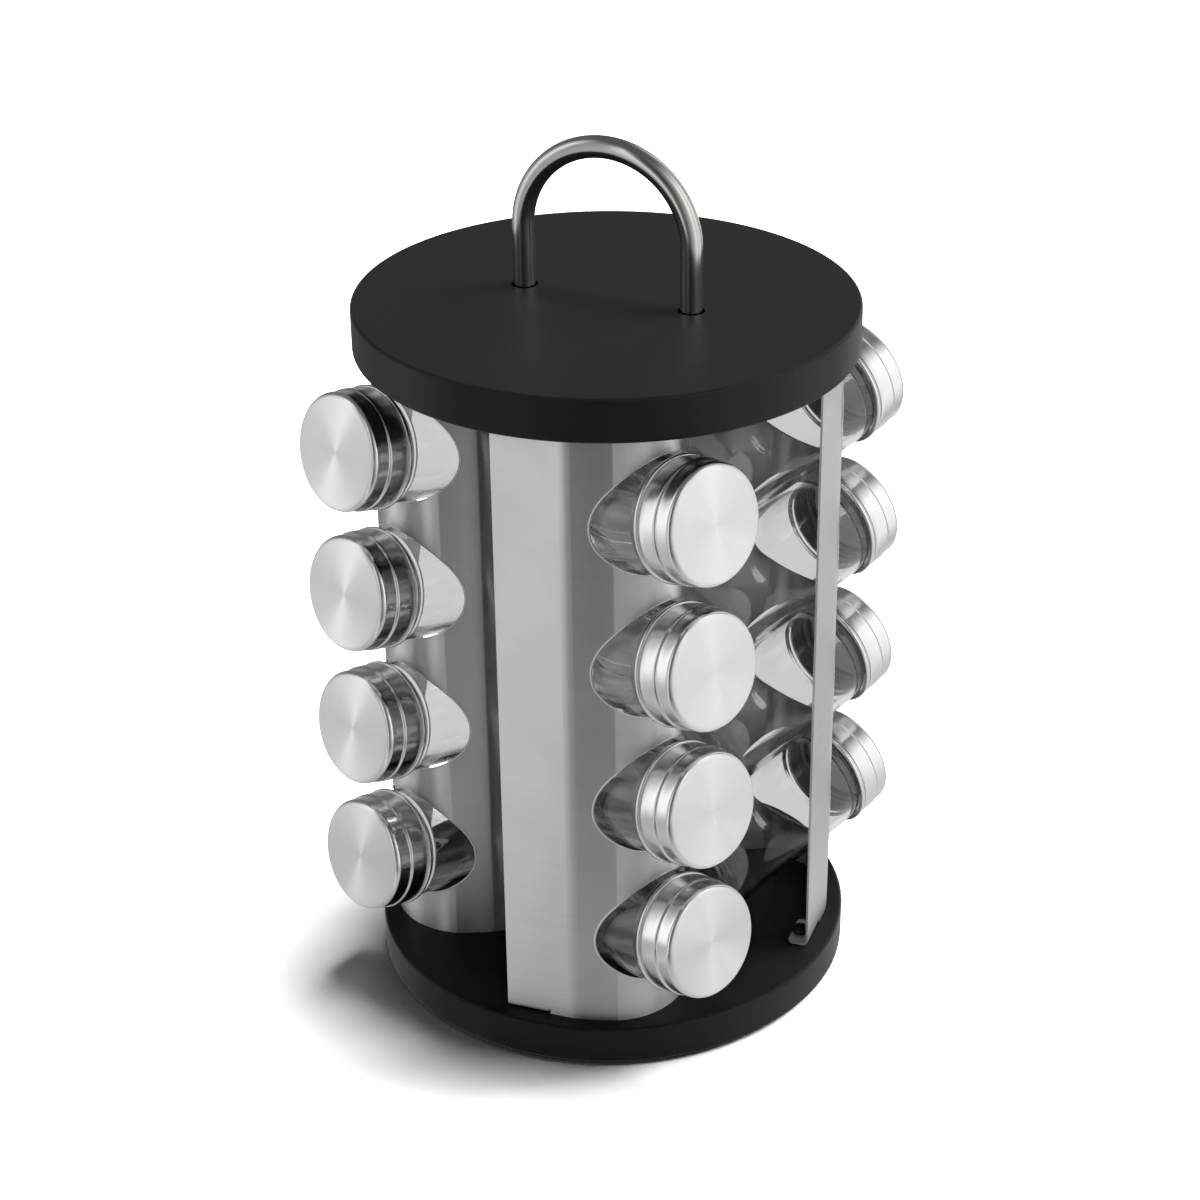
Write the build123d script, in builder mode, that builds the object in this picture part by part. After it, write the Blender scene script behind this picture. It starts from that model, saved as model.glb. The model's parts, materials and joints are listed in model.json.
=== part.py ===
from build123d import *

import os
from math import cos, radians, sin, tan

# Spice carousel: four columns of glass jars set like a pinwheel between two lacquered discs.
# Millimetres, +Z up, origin on the table under the spin axis, column a faces +X.

os.makedirs("parts", exist_ok=True)

# Layout of the columns
column_names = "abcd"
rows = 4
tilt = 11.0  # the caps point up by this angle, so that the jars stay in
core_gap = 18.9  # spin axis to the side of a jar
row_gap = 11.0  # between the caps of one column
low_margin = 37.0  # base disc to the lowest hole's centre
high_margin = 32.2  # highest hole's centre to the top disc

# Glass jar, measured along its own axis from the bottom
jar_d = 41.4
glass_body = 74.0  # bottom to shoulder
glass_wall = 2.2
glass_floor = 3.6
heel_r = 4.0
punt = 1.2  # hollow under the bottom
stand_w = 3.0  # ring that the jar stands on
shoulder_step = 1.4  # body radius over neck radius
neck_len = 15.1

# Sifter pressed into the mouth
sifter_flange = 1.1
sifter_skirt = 5.0
sifter_wall = 1.0
sifter_gap = 0.05
sifter_hole_d = 4.0
sifter_circle_d = 18.0
sifter_holes = 6

# Screw cap of spun steel
cap_lift = 0.4  # open rim over the shoulder
cap_gap = 0.7  # around the neck, where the threads lie
cap_wall = 1.2
cap_face = 0.9
bead_h = 1.7
bead_proud = 1.1
groove_h = 0.8
skirt_h = 6.7
skirt_proud = 0.6
step_h = 0.8
cap_edge_r = 2.2

# Bowed sheet-steel panel
sheet = 0.8
crown_r = 28.0  # the bow's middle, like all these radii taken along the middle of the sheet
crown_sweep = 38.2  # from the bow's middle to a crease
crease_r = 3.0
crease_turn = 7.0
side_r = 100.0  # between the crease and the fold, where the bow is almost flat
side_sweep = 8.0
fold_r = 24.0
splay = 27.0  # angle of each flat to the column's facing direction
flat_len = 24.0
hole_play = 0.8  # hole's half height over jar radius
hole_side_play = 2.3  # hole's half width over jar radius
seat_gap = 0.3  # left between a jar and what it rests on
cap_standoff = 8.4  # bow's crown to the cap's open rim, along the jar
tab_w = 16.0
tab_len = 8.0
tab_corner_r = 2.0
bend_r = 1.0
relief = 0.8  # slit at the end of a tab

# Discs
rim_overhang = 21.6  # bow's crown to the rim
base_t = 15.0
top_t = 16.0
rim_round = 1.2
floor_gap = 1.6  # base disc over the table

# Handle of bent rod
rod_d = 8.0
handle_span = 64.6
handle_leg = 22.6  # straight part over the top disc
handle_turn = 22.0  # seen from above, from column a
socket_play = 0.8
socket_floor = 3.0

# Pan-head screw, the same everywhere
head_d = 6.4
head_h = 2.2
head_round = 1.2
shank_d = 3.0
screw_len = 8.0
screw_gap = 0.05

# Turntable
pad_h = 1.8
pad_d = 12.0
pads = 4
pad_inset = 10.0  # foot plate's rim to a pad's centre
pad_round = 0.5
plate_t = 2.2
plate_gap = 1.4
ball_d = 4.0
balls = 24
ball_inset = 22.0  # foot plate's rim to the ball circle
race_gap = 0.05
base_wall = 13.0  # base disc's rim around the recess
recess_play = 2.0
screw_band = 15.0  # turntable plate's rim beyond the foot plate
plate_screws = 4
pivot_d = 8.0
pivot_gap = 0.05
pivot_head_d = 14.0
pivot_head_h = 1.4
pivot_play = 0.4  # under and around the pivot's head

# Radii that follow from the sizes above
jar_r = jar_d / 2
inside_r = jar_r - glass_wall
neck_r = jar_r - shoulder_step
mouth_r = neck_r - glass_wall
bore_r = neck_r + cap_gap
cap_r = bore_r + cap_wall
skirt_r = cap_r + skirt_proud
bead_r = cap_r + bead_proud
jar_top = glass_body + neck_len
cap_h = neck_len + sifter_flange - cap_lift + cap_face
bow_r = crown_r + sheet / 2
hole_high = jar_r + hole_play
hole_wide = jar_r + hole_side_play
bend_out = bend_r + sheet

# One half of a panel's section along the middle of the sheet: the crown's centre is the origin and the bow faces +X
flat_dir = Vector(-cos(radians(splay)), sin(radians(splay)), 0)
flat_in = Vector(-sin(radians(splay)), -cos(radians(splay)), 0)
fold_turn = 90 - splay - crown_sweep - crease_turn - side_sweep
with BuildLine() as half_section:
    middle = CenterArc((0, 0), crown_r, 0, crown_sweep)
    crease = JernArc(middle @ 1, middle % 1, crease_r, crease_turn)
    side = JernArc(crease @ 1, crease % 1, side_r, side_sweep)
    fold = JernArc(side @ 1, side % 1, fold_r, fold_turn)
    flat = Line(fold @ 1, fold @ 1 + flat_dir * flat_len)

# Plan points on the outer face of a flat
free_edge = flat @ 1 - flat_in * (sheet / 2)
tab_start = free_edge - flat_dir * tab_w
tab_screw_in = (bend_out + tab_len) / 2
tab_screw = tab_start + flat_dir * (tab_w / 2) + flat_in * tab_screw_in

# Plan of a column, with the jars' axis along X at y = -column_offset
column_offset = jar_r + core_gap
heel_flat_r = jar_r - heel_r
jar_foot = free_edge.Y - column_offset + heel_flat_r * sin(radians(tilt)) + seat_gap
crown = jar_foot + (glass_body + cap_lift - cap_standoff) * cos(radians(tilt))
disc_r = crown + rim_overhang
bow_x = crown - bow_r

# Heights
plate_low = pad_h
plate_high = plate_low + plate_t + plate_gap
recess_top = plate_high + plate_t
base_top = floor_gap + base_t
row_pitch = 2 * bead_r + row_gap
panel_h = low_margin + row_pitch * (rows - 1) + high_margin
top_low = base_top + panel_h
top_face = top_low + top_t
ball_z = plate_low + plate_t + plate_gap / 2

# Turntable radii
recess_r = disc_r - base_wall
plate_r = recess_r - recess_play
foot_r = plate_r - screw_band
ball_circle_r = foot_r - ball_inset
plate_screw_r = (foot_r + plate_r) / 2
pad_circle_r = foot_r - pad_inset
race_r = ball_d / 2 + race_gap
pivot_head_low = recess_top + pivot_play


def row_height(row):
    """Height of a hole's centre on the bow's crown, rows counted from the top."""
    return base_top + low_margin + row_pitch * (rows - 1 - row)


def jar_seat(column, row):
    """Place of a jar's bottom centre, with Z along the jar."""
    height = row_height(row) - (crown - jar_foot) * tan(radians(tilt))
    return Rot(0, 0, 90 * column) * Pos(jar_foot, -column_offset, height) * Rot(0, 90 - tilt, 0)


def panel_seat(column):
    """Place of a panel's bow centre at half its height."""
    return Rot(0, 0, 90 * column) * Pos(bow_x, -column_offset, base_top + panel_h / 2)


def tab_points(column):
    """Plan points of the two tab screws at one end of a panel."""
    corners = (Pos(tab_screw.X, side * tab_screw.Y) for side in (1, -1))
    places = (panel_seat(column) * corner for corner in corners)
    return [(place.position.X, place.position.Y) for place in places]


def finish(piece, name):
    """Name a piece and write it."""
    piece.label = name
    export_step(piece, f"parts/{name}.step")


tab_screw_points = [point for column in range(len(column_names)) for point in tab_points(column)]
leg_turns = (handle_turn, handle_turn + 180)
leg_r = handle_span / 2
leg_points = [(leg_r * cos(radians(turn)), leg_r * sin(radians(turn))) for turn in leg_turns]

# Rubber pads that stand on the table
with BuildPart() as rubber_pads:
    with BuildSketch():
        with PolarLocations(pad_circle_r, pads, start_angle=45):
            Circle(pad_d / 2)
    extrude(amount=pad_h)
    fillet(rubber_pads.faces().sort_by(Axis.Z).filter_by(Axis.Z)[:pads].edges(), pad_round)

# Foot plate with its ball race and the pivot riveted into it
with BuildPart() as foot_plate:
    with BuildSketch(Plane.XZ):
        with BuildLine():
            Polyline(
                (0, plate_low),
                (foot_r, plate_low),
                (foot_r, plate_low + plate_t),
                (pivot_d / 2, plate_low + plate_t),
                (pivot_d / 2, pivot_head_low),
                (pivot_head_d / 2, pivot_head_low),
                (pivot_head_d / 2, pivot_head_low + pivot_head_h),
                (0, pivot_head_low + pivot_head_h),
                close=True,
            )
        make_face()
        with Locations((ball_circle_r, ball_z)):
            Circle(race_r, mode=Mode.SUBTRACT)
    revolve(axis=Axis.Z)

# Loose ring of balls between the two plates
with BuildPart() as bearing_balls:
    with Locations(Plane.XY.offset(ball_z)):
        with PolarLocations(ball_circle_r, balls):
            Sphere(ball_d / 2)

# Turntable plate, screwed into the base disc
with BuildPart() as turntable_plate:
    with BuildSketch(Plane.XZ):
        with Locations((pivot_d / 2 + pivot_gap, plate_high)):
            Rectangle(plate_r - pivot_d / 2 - pivot_gap, plate_t, align=(Align.MIN, Align.MIN))
        with Locations((ball_circle_r, ball_z)):
            Circle(race_r, mode=Mode.SUBTRACT)
    revolve(axis=Axis.Z)
    with Locations(Plane.XY.offset(recess_top)):
        with PolarLocations(plate_screw_r, plate_screws, start_angle=45):
            Hole(shank_d / 2 + screw_gap)

# Base disc with the recess that hides the turntable
with BuildPart() as base_disc:
    with BuildSketch(Plane.XY.offset(floor_gap)):
        Circle(disc_r)
    extrude(amount=base_t)
    fillet(base_disc.edges(), rim_round)
    with BuildSketch(Plane.XY.offset(floor_gap)):
        Circle(recess_r)
    extrude(amount=recess_top - floor_gap, mode=Mode.SUBTRACT)
    with BuildSketch(Plane.XY.offset(recess_top)):
        Circle(pivot_head_d / 2 + pivot_play)
    extrude(amount=pivot_play + pivot_head_h + pivot_play, mode=Mode.SUBTRACT)
    with BuildSketch(Plane.XY.offset(recess_top)):
        with PolarLocations(plate_screw_r, plate_screws, start_angle=45):
            Circle(shank_d / 2 + screw_gap)
    extrude(amount=screw_len - plate_t + screw_gap, mode=Mode.SUBTRACT)
    with BuildSketch(Plane.XY.offset(base_top)):
        with Locations(*tab_screw_points):
            Circle(shank_d / 2 + screw_gap)
    extrude(amount=sheet - screw_len - screw_gap, mode=Mode.SUBTRACT)

# Top disc with the two sockets of the handle
with BuildPart() as top_disc:
    with BuildSketch(Plane.XY.offset(top_low)):
        Circle(disc_r)
    extrude(amount=top_t)
    fillet(top_disc.edges(), rim_round)
    with BuildSketch(Plane.XY.offset(top_face)):
        with Locations(*leg_points):
            Circle(rod_d / 2 + socket_play)
    extrude(amount=socket_floor - top_t, mode=Mode.SUBTRACT)
    with BuildSketch(Plane.XY.offset(top_low)):
        with Locations(*leg_points):
            Circle(shank_d / 2 + screw_gap)
    extrude(amount=socket_floor, mode=Mode.SUBTRACT)
    with BuildSketch(Plane.XY.offset(top_low)):
        with Locations(*tab_screw_points):
            Circle(shank_d / 2 + screw_gap)
    extrude(amount=screw_len - sheet + screw_gap, mode=Mode.SUBTRACT)

# Handle: a rod bent to an arch, tapped at both ends
leg_foot = top_low + socket_floor
leg_top = top_face + handle_leg
with BuildPart() as handle:
    with BuildLine(Plane.XZ.rotated((0, 0, handle_turn))):
        near_leg = Line((-leg_r, leg_foot), (-leg_r, leg_top))
        arch = CenterArc((0, leg_top), leg_r, 180, -180)
        far_leg = Line((leg_r, leg_top), (leg_r, leg_foot))
    with BuildSketch(Plane.XY.offset(leg_foot)):
        with Locations(leg_points[1]):
            Circle(rod_d / 2)
    sweep()
    with BuildSketch(Plane.XY.offset(leg_foot)):
        with Locations(*leg_points):
            Circle(shank_d / 2 + screw_gap)
    extrude(amount=screw_len - socket_floor + screw_gap, mode=Mode.SUBTRACT)

# Panel: one quarter of the sheet with its bent tab, mirrored twice, then the holes along the jars
with BuildPart() as panel:
    with BuildSketch(Plane.XY.offset(-panel_h / 2)):
        trace(half_section.line, line_width=sheet)
    extrude(amount=panel_h / 2)
    tab_plane = Plane(tab_start - Vector(0, 0, panel_h / 2), x_dir=flat_in, z_dir=flat_dir)
    with BuildSketch(tab_plane.offset(-relief)):
        with Locations((sheet / 2, 0)):
            Rectangle(2 * sheet, bend_out, align=(Align.CENTER, Align.MIN))
    extrude(amount=relief + 2 * tab_w, mode=Mode.SUBTRACT)
    with BuildSketch(tab_plane):
        with BuildLine():
            outer_bend = CenterArc((bend_out, bend_out), bend_out, 180, 90)
            inner_bend = CenterArc((bend_out, bend_out), bend_r, 180, 90)
            Line(outer_bend @ 0, inner_bend @ 0)
            Polyline(outer_bend @ 1, (tab_len, 0), (tab_len, sheet), inner_bend @ 1)
        make_face()
    extrude(amount=tab_w)
    fillet(panel.edges().filter_by(Axis.Z).group_by(SortBy.LENGTH)[0], tab_corner_r)
    with BuildSketch(Plane.XY.offset(-panel_h / 2)):
        with Locations((tab_screw.X, tab_screw.Y)):
            Circle(shank_d / 2 + screw_gap)
    extrude(amount=sheet, mode=Mode.SUBTRACT)
    mirror(about=Plane.XZ)
    mirror(about=Plane.XY)
    for row in range(rows):
        along = Vector(cos(radians(tilt)), 0, sin(radians(tilt)))
        lift = (hole_play - seat_gap) / cos(radians(tilt)) - bow_r * tan(radians(tilt))
        height = row_height(row) - base_top - panel_h / 2 + lift
        with BuildSketch(Plane((0, 0, height), x_dir=(0, 1, 0), z_dir=along)):
            Ellipse(hole_wide, hole_high)
        extrude(amount=2 * bow_r, mode=Mode.SUBTRACT)

# Pan-head screw, head up, with the underside of its head at the origin
with BuildPart() as screw:
    with BuildSketch():
        Circle(head_d / 2)
    extrude(amount=head_h)
    fillet(screw.edges().sort_by(Axis.Z).last, head_round)
    with BuildSketch():
        Circle(shank_d / 2)
    extrude(amount=-screw_len)

plate_turns = [45 + 360 / plate_screws * index for index in range(plate_screws)]
screw_places = [Pos(x, y, base_top + sheet) for x, y in tab_screw_points]
screw_places += [Pos(x, y, top_low - sheet) * Rot(180, 0, 0) for x, y in tab_screw_points]
screw_places += [Pos(x, y, top_low) * Rot(180, 0, 0) for x, y in leg_points]
screw_places += [Rot(0, 0, turn) * Pos(plate_screw_r, 0, plate_high) * Rot(180, 0, 0) for turn in plate_turns]
with BuildPart() as screws:
    with Locations(*screw_places):
        add(screw.part)

# Glass jar standing on its bottom
with BuildPart() as jar:
    with BuildSketch(Plane.XZ):
        with BuildLine():
            heel = CenterArc((heel_flat_r, heel_r), heel_r, -90, 90)
            shoulder = CenterArc((neck_r, glass_body - shoulder_step), shoulder_step, 0, 90)
            corner = CenterArc((inside_r - heel_r, glass_floor + heel_r), heel_r, -90, 90)
            Line(heel @ 1, shoulder @ 0)
            Polyline(
                shoulder @ 1,
                (neck_r, jar_top),
                (mouth_r, jar_top),
                (mouth_r, glass_body - glass_wall),
                (inside_r, glass_body - glass_wall - shoulder_step),
                corner @ 1,
            )
            Polyline(
                corner @ 0,
                (0, glass_floor),
                (0, punt),
                (heel_flat_r - stand_w - punt, punt),
                (heel_flat_r - stand_w, 0),
                heel @ 0,
            )
        make_face()
    revolve(axis=Axis.Z)

# Sifter: a perforated plate with a skirt that plugs the mouth
with BuildPart() as sifter:
    with BuildSketch(Plane.XY.offset(jar_top)):
        Circle(neck_r)
    extrude(amount=sifter_flange)
    with BuildSketch(Plane.XY.offset(jar_top)):
        Circle(mouth_r - sifter_gap)
        Circle(mouth_r - sifter_gap - sifter_wall, mode=Mode.SUBTRACT)
    extrude(amount=-sifter_skirt)
    with BuildSketch(Plane.XY.offset(jar_top)):
        Circle(sifter_hole_d / 2)
        with PolarLocations(sifter_circle_d / 2, sifter_holes):
            Circle(sifter_hole_d / 2)
    extrude(amount=sifter_flange, mode=Mode.SUBTRACT)

# Cap: rolled bead, groove, skirt, step and a rounded edge to the flat face
cap_low = glass_body + cap_lift
skirt_low = cap_low + bead_h + groove_h
step_low = skirt_low + skirt_h
cap_top = cap_low + cap_h
with BuildPart() as cap:
    with BuildSketch(Plane.XZ):
        with BuildLine():
            bead = CenterArc((bead_r - bead_h / 2, cap_low + bead_h / 2), bead_h / 2, -90, 180)
            edge = CenterArc((cap_r - cap_edge_r, cap_top - cap_edge_r), cap_edge_r, 0, 90)
            Polyline(
                bead @ 1,
                (cap_r, cap_low + bead_h),
                (cap_r, skirt_low),
                (skirt_r, skirt_low),
                (skirt_r, step_low),
                (cap_r, step_low + step_h),
                edge @ 0,
            )
            Polyline(
                edge @ 1,
                (0, cap_top),
                (0, cap_top - cap_face),
                (bore_r, cap_top - cap_face),
                (bore_r, cap_low),
                bead @ 0,
            )
        make_face()
    revolve(axis=Axis.Z)

finish(rubber_pads.part, "rubber_pads")
finish(foot_plate.part, "foot_plate")
finish(bearing_balls.part, "bearing_balls")
finish(turntable_plate.part, "turntable_plate")
finish(base_disc.part, "base_disc")
finish(top_disc.part, "top_disc")
finish(handle.part, "handle")
finish(screws.part, "screws")
for column, letter in enumerate(column_names):
    finish(panel.part.moved(panel_seat(column)), f"panel_{letter}")
    for row in range(rows):
        place = f"{letter}{row + 1}"
        finish(jar.part.moved(jar_seat(column, row)), f"jar_{place}")
        finish(sifter.part.moved(jar_seat(column, row)), f"sifter_{place}")
        finish(cap.part.moved(jar_seat(column, row)), f"cap_{place}")
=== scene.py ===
"""Spice carousel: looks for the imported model, in the frame of the CAD nodes.

The scene is in metres. Sizes of pieces and the camera's place are given in millimetres, and the studio's room and the
finishes in metres.
"""

import json
import logging
from collections.abc import Callable, Iterable, Sequence
from dataclasses import dataclass, field
from enum import Enum
from math import asin, atan2, cos, exp, hypot, pi, radians, sin, tan

import bmesh
import bpy
from mathutils import Matrix, Vector


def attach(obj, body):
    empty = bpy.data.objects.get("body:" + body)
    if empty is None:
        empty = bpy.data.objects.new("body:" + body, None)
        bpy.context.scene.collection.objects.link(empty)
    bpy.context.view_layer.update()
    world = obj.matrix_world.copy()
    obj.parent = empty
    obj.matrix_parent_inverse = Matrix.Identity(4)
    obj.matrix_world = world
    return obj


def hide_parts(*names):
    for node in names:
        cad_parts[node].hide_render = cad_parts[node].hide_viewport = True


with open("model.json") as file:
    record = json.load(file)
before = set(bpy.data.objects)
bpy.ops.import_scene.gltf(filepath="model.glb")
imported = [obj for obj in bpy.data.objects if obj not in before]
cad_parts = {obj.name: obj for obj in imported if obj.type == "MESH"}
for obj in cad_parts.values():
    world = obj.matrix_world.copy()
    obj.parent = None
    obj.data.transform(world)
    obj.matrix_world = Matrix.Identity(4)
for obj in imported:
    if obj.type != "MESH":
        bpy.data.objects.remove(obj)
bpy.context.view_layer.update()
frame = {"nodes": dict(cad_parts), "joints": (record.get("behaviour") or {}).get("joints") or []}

log = logging.getLogger("spice_carousel")

MM = 0.001
COLUMNS = "abcd"
ROWS = range(1, 5)
JARS = [f"{letter}{row}" for letter in COLUMNS for row in ROWS]
SAME = 0.01  # millimetres within which two radii count as one


# Node trees


class Tree:
    """A node tree with short calls for adding nodes and joining them up."""

    def __init__(self, tree: bpy.types.NodeTree) -> None:
        """Keep the tree that the nodes go into."""
        self.tree = tree

    def join(self, value: object, socket: bpy.types.NodeSocket) -> None:
        """Feed a socket.

        Args:
            value: a plain value, or the socket to link from.
            socket: the socket that takes it.
        """
        if isinstance(value, bpy.types.NodeSocket):
            self.tree.links.new(value, socket)
        else:
            socket.default_value = value

    def add(self, kind: str, inputs: dict | None = None, **settings: object) -> bpy.types.Node:
        """Add a node.

        Args:
            kind: the node's type name without its ShaderNode prefix.
            inputs: socket name or number to a value, or to a socket that feeds it.
            settings: properties of the node itself, set before its sockets.

        Returns:
            The new node.
        """
        node = self.tree.nodes.new("ShaderNode" + kind)
        for name, value in settings.items():
            setattr(node, name, value)
        for key, value in (inputs or {}).items():
            self.join(value, node.inputs[key])
        return node

    def math(self, operation: str, *values: object) -> bpy.types.NodeSocket:
        """Work out one number.

        Args:
            operation: name of the Math node's operation.
            values: numbers or sockets.

        Returns:
            The socket that holds the result.
        """
        return self.add("Math", dict(enumerate(values)), operation=operation).outputs[0]

    def vector(self, operation: str, *values: object) -> bpy.types.NodeSocket:
        """Work out one vector.

        Args:
            operation: name of the Vector Math node's operation.
            values: triples or sockets.

        Returns:
            The socket that holds the result.
        """
        return self.add("VectorMath", dict(enumerate(values)), operation=operation).outputs[0]

    def length(self, vector: bpy.types.NodeSocket) -> bpy.types.NodeSocket:
        """Work out how long a vector is."""
        return self.add("VectorMath", {0: vector}, operation="LENGTH").outputs["Value"]

    def between(
        self, value: bpy.types.NodeSocket, low: float, high: float, start: float, end: float
    ) -> bpy.types.NodeSocket:
        """Carry a value from one range to another, held at both ends.

        Args:
            value: the socket to carry over.
            low: value that gives start.
            high: value that gives end.
            start: result at the low end.
            end: result at the high end.

        Returns:
            The socket that holds the result.
        """
        limits = {"Value": value, "From Min": low, "From Max": high, "To Min": start, "To Max": end}
        return self.add("MapRange", limits).outputs[0]

    def mix(self, share: object, first: object, second: object) -> bpy.types.NodeSocket:
        """Mix two numbers.

        Args:
            share: how much of the second, a number or a socket.
            first: number or socket.
            second: number or socket.

        Returns:
            The mixed number's socket.
        """
        return self.add("Mix", {0: share, 2: first, 3: second}).outputs[0]

    def blend(self, share: object, first: object, second: object) -> bpy.types.NodeSocket:
        """Mix two colours.

        Args:
            share: how much of the second, a number or a socket.
            first: colour or socket.
            second: colour or socket.

        Returns:
            The mixed colour's socket.
        """
        return self.add("Mix", {0: share, 6: first, 7: second}, data_type="RGBA").outputs[2]

    def group(self, tree: bpy.types.NodeTree, **inputs: object) -> bpy.types.Node:
        """Place a node group.

        Args:
            tree: the group.
            inputs: values or sockets for the group's inputs, by name.

        Returns:
            The group's node.
        """
        return self.add("Group", inputs, node_tree=tree)


def new_group(
    name: str, inputs: dict[str, str], outputs: dict[str, str]
) -> tuple[Tree, bpy.types.Node, bpy.types.Node]:
    """Start a shader node group.

    Args:
        name: the group's name.
        inputs: input names to socket kinds, such as Float or Vector.
        outputs: output names to socket kinds.

    Returns:
        The group's tree, its input node and its output node.
    """
    tree = bpy.data.node_groups.new(name, "ShaderNodeTree")
    for in_out, sockets in (("INPUT", inputs), ("OUTPUT", outputs)):
        for label, kind in sockets.items():
            tree.interface.new_socket(label, in_out=in_out, socket_type="NodeSocket" + kind)
    return Tree(tree), tree.nodes.new("NodeGroupInput"), tree.nodes.new("NodeGroupOutput")


def brush_lines_group() -> bpy.types.NodeTree:
    """Build the fine lines that a brush or a lathe leaves in metal.

    Returns:
        A group from a Vector whose Z runs across the lines, with the lines' Fineness and Length as counts per metre,
        to Lines for single scratches and Bands for broad streaks.
    """
    tree, source, sink = new_group(
        "brush_lines",
        {"Vector": "Vector", "Fineness": "Float", "Length": "Float"},
        {"Lines": "Float", "Bands": "Float"},
    )
    single, broad = 1.0, 0.09
    weak, strong = 0.28, 0.72
    for label, slower in (("Lines", single), ("Bands", broad)):
        across = tree.math("MULTIPLY", source.outputs["Fineness"], slower)
        along = tree.math("MULTIPLY", source.outputs["Length"], slower ** 0.5)
        scale = tree.add("CombineXYZ", {0: along, 1: along, 2: across}).outputs[0]
        place = tree.vector("MULTIPLY", source.outputs["Vector"], scale)
        noise = tree.add("TexNoise", {"Vector": place, "Scale": 1.0, "Detail": 4.0, "Roughness": 0.62})
        tree.join(tree.between(noise.outputs[0], weak, strong, 0.0, 1.0), sink.inputs[label])
    return tree.tree


def handling_haze_group() -> bpy.types.NodeTree:
    """Build the uneven film that hands and cloths leave.

    Returns:
        A group from a Vector and a Scale per metre to Haze, a soft mask, and Flecks, sparse small specks.
    """
    tree, source, sink = new_group(
        "handling_haze", {"Vector": "Vector", "Scale": "Float"}, {"Haze": "Float", "Flecks": "Float"}
    )
    haze_edges, fleck_edges = (0.36, 0.68), (0.7, 0.78)
    fleck_fineness = 22.0
    where, scale = source.outputs["Vector"], source.outputs["Scale"]
    film = tree.add("TexNoise", {"Vector": where, "Scale": scale, "Detail": 3.0, "Distortion": 0.6})
    tree.join(tree.between(film.outputs[0], *haze_edges, 0.0, 1.0), sink.inputs["Haze"])
    finer = tree.math("MULTIPLY", scale, fleck_fineness)
    specks = tree.add("TexNoise", {"Vector": where, "Scale": finer, "Detail": 2.0})
    tree.join(tree.between(specks.outputs[0], *fleck_edges, 0.0, 1.0), sink.inputs["Flecks"])
    return tree.tree


def pebble_group() -> bpy.types.NodeTree:
    """Build the fine pebbled skin of lacquer, moulded plastic and rubber.

    Returns:
        A group from a Vector and a Scale per metre to Height.
    """
    tree, source, sink = new_group("pebble", {"Vector": "Vector", "Scale": "Float"}, {"Height": "Float"})
    place = {"Vector": source.outputs["Vector"], "Scale": source.outputs["Scale"]}
    cells = tree.add("TexVoronoi", place, feature="SMOOTH_F1")
    swell = tree.add("TexNoise", {**place, "Detail": 2.0})
    tree.join(tree.math("ADD", cells.outputs["Distance"], swell.outputs[0]), sink.inputs["Height"])
    return tree.tree


@dataclass(frozen=True)
class Effects:
    """Node groups that several finishes share."""

    brush_lines: bpy.types.NodeTree
    handling_haze: bpy.types.NodeTree
    pebble: bpy.types.NodeTree


# Finishes

Colour = tuple[float, float, float]


def opaque(colour: Colour) -> tuple[float, float, float, float]:
    """Give a colour its alpha."""
    return (*colour, 1.0)


class BrushPath(Enum):
    """How the lines of a steel finish run."""

    LEVEL = "level, around the column"
    SPUN = "in rings about the piece's own axis"
    DRAWN = "along the rod"


def clear_tree(owner: bpy.types.Material | bpy.types.World) -> Tree:
    """Start the nodes of a material or a world from nothing."""
    owner.use_nodes = True
    owner.node_tree.nodes.clear()
    return Tree(owner.node_tree)


def start_material(name: str) -> tuple[bpy.types.Material, Tree, bpy.types.Node]:
    """Start a material with one Principled shader.

    Args:
        name: the material's name.

    Returns:
        The material, its tree and the shader's node.
    """
    material = bpy.data.materials.new(name)
    tree = clear_tree(material)
    shader = tree.add("BsdfPrincipled")
    tree.add("OutputMaterial", {"Surface": shader.outputs[0]})
    return material, tree, shader


def feed(tree: Tree, shader: bpy.types.Node, **sockets: object) -> None:
    """Set or join sockets of a shader.

    Args:
        tree: the shader's tree.
        shader: the shader's node.
        sockets: values or sockets by the socket's name, with underscores for spaces.
    """
    for name, value in sockets.items():
        tree.join(value, shader.inputs[name.replace("_", " ")])


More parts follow.
